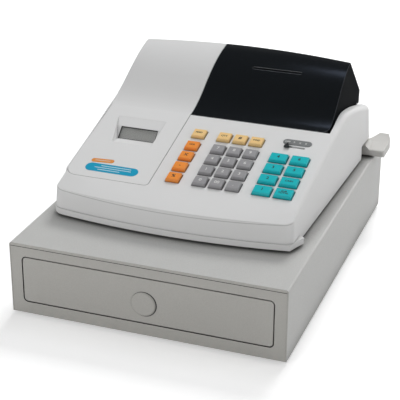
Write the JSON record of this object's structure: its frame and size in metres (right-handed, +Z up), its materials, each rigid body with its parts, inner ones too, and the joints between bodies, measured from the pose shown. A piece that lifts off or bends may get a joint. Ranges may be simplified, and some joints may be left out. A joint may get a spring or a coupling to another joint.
{
  "type": "cash register",
  "caption": "Electronic cash register: sloping key deck, display panel and printer cover on a low head, standing on a flat steel cash drawer.",
  "frame": {"origin": "centre of the whole footprint, on the surface that the feet stand on", "axes": "+Z up, +Y from the drawer front towards the rear, +X to the right as the operator sees it"},
  "size_m": [0.3384, 0.4314, 0.229],
  "materials": {
    "cabinet_paint": "speckled satin",
    "front_paint": "speckled satin",
    "rubber": "matt",
    "zinc_steel": "zinc plated",
    "clip_plastic": "matt",
    "tray_plastic": "matt",
    "case_plastic": "fine texture",
    "window_plastic": "clear, tinted",
    "display_module": "matt",
    "grey_plastic": "matt",
    "circuit_board": "lacquered",
    "core_steel": "varnished",
    "paper": "paper",
    "cover_plastic": "gloss",
    "key_teal": "satin",
    "key_orange": "satin",
    "key_cream": "satin",
    "key_grey": "satin"
  },
  "bodies": {
    "case": {"cabinet_chassis": "front_paint", "base_pan": "case_plastic", "cabinet_rails": "zinc_steel", "cabinet_wrap": "cabinet_paint", "display_panel": "case_plastic", "display_window": "window_plastic", "keyboard_board": "circuit_board", "keyboard_frame": "grey_plastic", "latch_solenoid": "zinc_steel", "lcd_module": "display_module", "main_board": "circuit_board", "printer_frame": "zinc_steel", "roll_spindle": "grey_plastic", "rubber_feet": "rubber", "transformer": "core_steel", "upper_housing": "case_plastic"},
    "drawer": {"drawer_tray": "zinc_steel", "drawer_front": "front_paint", "lock_plug": "front_paint", "coin_tray": "tray_plastic", "note_tray": "tray_plastic"},
    "cover": {"printer_cover": "cover_plastic"},
    "rear_screen": {"customer_display": "case_plastic", "customer_window": "window_plastic"},
    "switch": {"mode_knob": "grey_plastic"},
    "clip_1": {"note_clip_1": "clip_plastic"},
    "clip_2": {"note_clip_2": "clip_plastic"},
    "clip_3": {"note_clip_3": "clip_plastic"},
    "clip_4": {"note_clip_4": "clip_plastic"},
    "hook": {"latch_hook": "zinc_steel"},
    "platen": {"platen_roller": "rubber"},
    "roll": {"paper_roll": "paper"},
    "press_key_feed": {"key_feed": "key_cream"},
    "press_key_department_1": {"key_department_1": "key_teal"},
    "press_key_department_2": {"key_department_2": "key_teal"},
    "press_key_department_3": {"key_department_3": "key_teal"},
    "press_key_department_4": {"key_department_4": "key_teal"},
    "press_key_department_5": {"key_department_5": "key_teal"},
    "press_key_department_6": {"key_department_6": "key_teal"},
    "press_key_department_7": {"key_department_7": "key_teal"},
    "press_key_department_8": {"key_department_8": "key_teal"},
    "press_key_digit_1": {"key_digit_1": "key_grey"},
    "press_key_digit_2": {"key_digit_2": "key_grey"},
    "press_key_digit_3": {"key_digit_3": "key_grey"},
    "press_key_digit_4": {"key_digit_4": "key_grey"},
    "press_key_digit_5": {"key_digit_5": "key_grey"},
    "press_key_digit_6": {"key_digit_6": "key_grey"},
    "press_key_digit_7": {"key_digit_7": "key_grey"},
    "press_key_digit_8": {"key_digit_8": "key_grey"},
    "press_key_digit_9": {"key_digit_9": "key_grey"},
    "press_key_digit_10": {"key_digit_10": "key_grey"},
    "press_key_digit_11": {"key_digit_11": "key_grey"},
    "press_key_digit_12": {"key_digit_12": "key_grey"},
    "press_key_function_1": {"key_function_1": "key_orange"},
    "press_key_function_2": {"key_function_2": "key_orange"},
    "press_key_function_3": {"key_function_3": "key_orange"},
    "press_key_function_4": {"key_function_4": "key_orange"},
    "press_key_menu_1": {"key_menu_1": "key_cream"},
    "press_key_menu_2": {"key_menu_2": "key_cream"},
    "press_key_menu_3": {"key_menu_3": "key_cream"}
  },
  "joints": [
    {"name": "drawer_slide", "type": "slide", "parent": "case", "child": "drawer", "axis": [0, -1, 0], "range_m": [0, 0.26]},
    {"name": "cover_hinge", "type": "hinge", "parent": "case", "child": "cover", "pos_m": [0.04025, 0.18075, 0.156], "axis": [-1, 0, 0], "range_deg": [0, 65]},
    {"name": "rear_screen_tilt", "type": "hinge", "parent": "case", "child": "rear_screen", "pos_m": [0.11125, 0.17275, 0.0966], "axis": [1, 0, 0], "range_deg": [0, 10]},
    {"name": "switch_slide", "type": "slide", "parent": "case", "child": "switch", "axis": [1, 0, 0], "range_m": [0, 0.018]},
    {"name": "clip_1_hinge", "type": "hinge", "parent": "drawer", "child": "clip_1", "pos_m": [-0.10537, 0.16125, 0.058], "axis": [-1, 0, 0], "range_deg": [0, 35], "stiffness_Nm_per_rad": 0.02, "springref_deg": -20.05},
    {"name": "clip_2_hinge", "type": "hinge", "parent": "drawer", "child": "clip_2", "pos_m": [-0.03963, 0.16125, 0.058], "axis": [-1, 0, 0], "range_deg": [0, 35], "stiffness_Nm_per_rad": 0.02, "springref_deg": -20.05},
    {"name": "clip_3_hinge", "type": "hinge", "parent": "drawer", "child": "clip_3", "pos_m": [0.02612, 0.16125, 0.058], "axis": [-1, 0, 0], "range_deg": [0, 35], "stiffness_Nm_per_rad": 0.02, "springref_deg": -20.05},
    {"name": "clip_4_hinge", "type": "hinge", "parent": "drawer", "child": "clip_4", "pos_m": [0.09187, 0.16125, 0.058], "axis": [-1, 0, 0], "range_deg": [0, 35], "stiffness_Nm_per_rad": 0.02, "springref_deg": -20.05},
    {"name": "hook_pivot", "type": "hinge", "parent": "case", "child": "hook", "pos_m": [-0.00675, 0.19875, 0.044], "axis": [-1, 0, 0], "range_deg": [0, 14], "stiffness_Nm_per_rad": 0.01, "springref_deg": -17.19},
    {"name": "platen_spin", "type": "hinge", "parent": "case", "child": "platen", "pos_m": [0.04325, 0.10275, 0.194], "axis": [1, 0, 0], "continuous": true},
    {"name": "roll_spin", "type": "hinge", "parent": "case", "child": "roll", "pos_m": [0.04325, 0.13775, 0.154], "axis": [1, 0, 0], "continuous": true},
    {"name": "key_feed_press", "type": "slide", "parent": "case", "child": "press_key_feed", "axis": [0, 0.2425, -0.9701], "range_m": [0, 0.003], "stiffness_N_per_m": 250, "springref_m": -0.0012},
    {"name": "key_department_1_press", "type": "slide", "parent": "case", "child": "press_key_department_1", "axis": [0, 0.2425, -0.9701], "range_m": [0, 0.003], "stiffness_N_per_m": 250, "springref_m": -0.0012},
    {"name": "key_department_2_press", "type": "slide", "parent": "case", "child": "press_key_department_2", "axis": [0, 0.2425, -0.9701], "range_m": [0, 0.003], "stiffness_N_per_m": 250, "springref_m": -0.0012},
    {"name": "key_department_3_press", "type": "slide", "parent": "case", "child": "press_key_department_3", "axis": [0, 0.2425, -0.9701], "range_m": [0, 0.003], "stiffness_N_per_m": 250, "springref_m": -0.0012},
    {"name": "key_department_4_press", "type": "slide", "parent": "case", "child": "press_key_department_4", "axis": [0, 0.2425, -0.9701], "range_m": [0, 0.003], "stiffness_N_per_m": 250, "springref_m": -0.0012},
    {"name": "key_department_5_press", "type": "slide", "parent": "case", "child": "press_key_department_5", "axis": [0, 0.2425, -0.9701], "range_m": [0, 0.003], "stiffness_N_per_m": 250, "springref_m": -0.0012},
    {"name": "key_department_6_press", "type": "slide", "parent": "case", "child": "press_key_department_6", "axis": [0, 0.2425, -0.9701], "range_m": [0, 0.003], "stiffness_N_per_m": 250, "springref_m": -0.0012},
    {"name": "key_department_7_press", "type": "slide", "parent": "case", "child": "press_key_department_7", "axis": [0, 0.2425, -0.9701], "range_m": [0, 0.003], "stiffness_N_per_m": 250, "springref_m": -0.0012},
    {"name": "key_department_8_press", "type": "slide", "parent": "case", "child": "press_key_department_8", "axis": [0, 0.2425, -0.9701], "range_m": [0, 0.003], "stiffness_N_per_m": 250, "springref_m": -0.0012},
    {"name": "key_digit_1_press", "type": "slide", "parent": "case", "child": "press_key_digit_1", "axis": [0, 0.2425, -0.9701], "range_m": [0, 0.003], "stiffness_N_per_m": 250, "springref_m": -0.0012},
    {"name": "key_digit_2_press", "type": "slide", "parent": "case", "child": "press_key_digit_2", "axis": [0, 0.2425, -0.9701], "range_m": [0, 0.003], "stiffness_N_per_m": 250, "springref_m": -0.0012},
    {"name": "key_digit_3_press", "type": "slide", "parent": "case", "child": "press_key_digit_3", "axis": [0, 0.2425, -0.9701], "range_m": [0, 0.003], "stiffness_N_per_m": 250, "springref_m": -0.0012},
    {"name": "key_digit_4_press", "type": "slide", "parent": "case", "child": "press_key_digit_4", "axis": [0, 0.2425, -0.9701], "range_m": [0, 0.003], "stiffness_N_per_m": 250, "springref_m": -0.0012},
    {"name": "key_digit_5_press", "type": "slide", "parent": "case", "child": "press_key_digit_5", "axis": [0, 0.2425, -0.9701], "range_m": [0, 0.003], "stiffness_N_per_m": 250, "springref_m": -0.0012},
    {"name": "key_digit_6_press", "type": "slide", "parent": "case", "child": "press_key_digit_6", "axis": [0, 0.2425, -0.9701], "range_m": [0, 0.003], "stiffness_N_per_m": 250, "springref_m": -0.0012},
    {"name": "key_digit_7_press", "type": "slide", "parent": "case", "child": "press_key_digit_7", "axis": [0, 0.2425, -0.9701], "range_m": [0, 0.003], "stiffness_N_per_m": 250, "springref_m": -0.0012},
    {"name": "key_digit_8_press", "type": "slide", "parent": "case", "child": "press_key_digit_8", "axis": [0, 0.2425, -0.9701], "range_m": [0, 0.003], "stiffness_N_per_m": 250, "springref_m": -0.0012},
    {"name": "key_digit_9_press", "type": "slide", "parent": "case", "child": "press_key_digit_9", "axis": [0, 0.2425, -0.9701], "range_m": [0, 0.003], "stiffness_N_per_m": 250, "springref_m": -0.0012},
    {"name": "key_digit_10_press", "type": "slide", "parent": "case", "child": "press_key_digit_10", "axis": [0, 0.2425, -0.9701], "range_m": [0, 0.003], "stiffness_N_per_m": 250, "springref_m": -0.0012},
    {"name": "key_digit_11_press", "type": "slide", "parent": "case", "child": "press_key_digit_11", "axis": [0, 0.2425, -0.9701], "range_m": [0, 0.003], "stiffness_N_per_m": 250, "springref_m": -0.0012},
    {"name": "key_digit_12_press", "type": "slide", "parent": "case", "child": "press_key_digit_12", "axis": [0, 0.2425, -0.9701], "range_m": [0, 0.003], "stiffness_N_per_m": 250, "springref_m": -0.0012},
    {"name": "key_function_1_press", "type": "slide", "parent": "case", "child": "press_key_function_1", "axis": [0, 0.2425, -0.9701], "range_m": [0, 0.003], "stiffness_N_per_m": 250, "springref_m": -0.0012},
    {"name": "key_function_2_press", "type": "slide", "parent": "case", "child": "press_key_function_2", "axis": [0, 0.2425, -0.9701], "range_m": [0, 0.003], "stiffness_N_per_m": 250, "springref_m": -0.0012},
    {"name": "key_function_3_press", "type": "slide", "parent": "case", "child": "press_key_function_3", "axis": [0, 0.2425, -0.9701], "range_m": [0, 0.003], "stiffness_N_per_m": 250, "springref_m": -0.0012},
    {"name": "key_function_4_press", "type": "slide", "parent": "case", "child": "press_key_function_4", "axis": [0, 0.2425, -0.9701], "range_m": [0, 0.003], "stiffness_N_per_m": 250, "springref_m": -0.0012},
    {"name": "key_menu_1_press", "type": "slide", "parent": "case", "child": "press_key_menu_1", "axis": [0, 0.2425, -0.9701], "range_m": [0, 0.003], "stiffness_N_per_m": 250, "springref_m": -0.0012},
    {"name": "key_menu_2_press", "type": "slide", "parent": "case", "child": "press_key_menu_2", "axis": [0, 0.2425, -0.9701], "range_m": [0, 0.003], "stiffness_N_per_m": 250, "springref_m": -0.0012},
    {"name": "key_menu_3_press", "type": "slide", "parent": "case", "child": "press_key_menu_3", "axis": [0, 0.2425, -0.9701], "range_m": [0, 0.003], "stiffness_N_per_m": 250, "springref_m": -0.0012}
  ]
}
